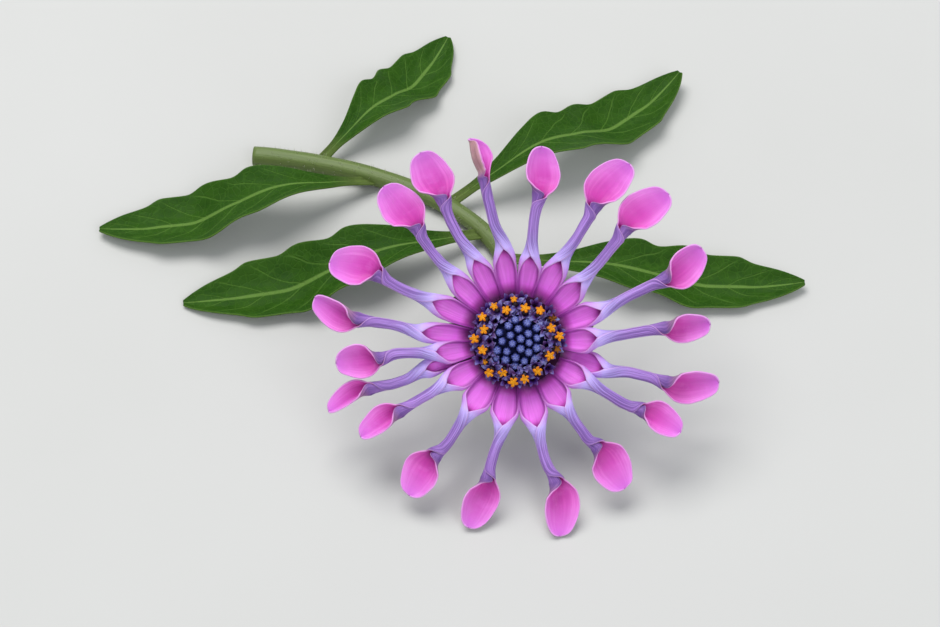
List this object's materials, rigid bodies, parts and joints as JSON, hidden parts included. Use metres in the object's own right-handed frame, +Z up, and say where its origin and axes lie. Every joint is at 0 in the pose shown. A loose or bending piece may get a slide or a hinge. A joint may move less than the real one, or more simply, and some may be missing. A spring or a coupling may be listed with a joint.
{
  "type": "picked osteospermum flower",
  "caption": "One spoon-petalled osteospermum daisy as picked, lying down: rolled ray petals with spoon ends round a blue disc with orange pollen, on a bent leafy stem.",
  "frame": {"origin": "centre of the flower's bounding box, on the surface that it lies on", "axes": "+Z up from the surface; the face of the bloom looks up and towards -Y; the stem runs back to +Y and then to -X"},
  "size_m": [0.105, 0.0938, 0.0349],
  "materials": {
    "stem": "matte green stem with a purple flush and fine hairs",
    "leaf": "satin green leaf with a pale midrib",
    "bract": "matte green bract with a purple tip",
    "petal": "satin petal, magenta pink above and striped lilac below",
    "bud_floret": "matte slate blue bud",
    "open_floret": "violet floret with orange pollen"
  },
  "bodies": {
    "root": {"stem": "stem", "leaf_1": "leaf", "leaf_2": "leaf", "leaf_3": "leaf", "leaf_4": "leaf", "leaf_5": "leaf", "involucre": "bract", "ray_petals": "petal", "closed_florets": "bud_floret", "open_florets": "open_floret"}
  },
  "joints": []
}
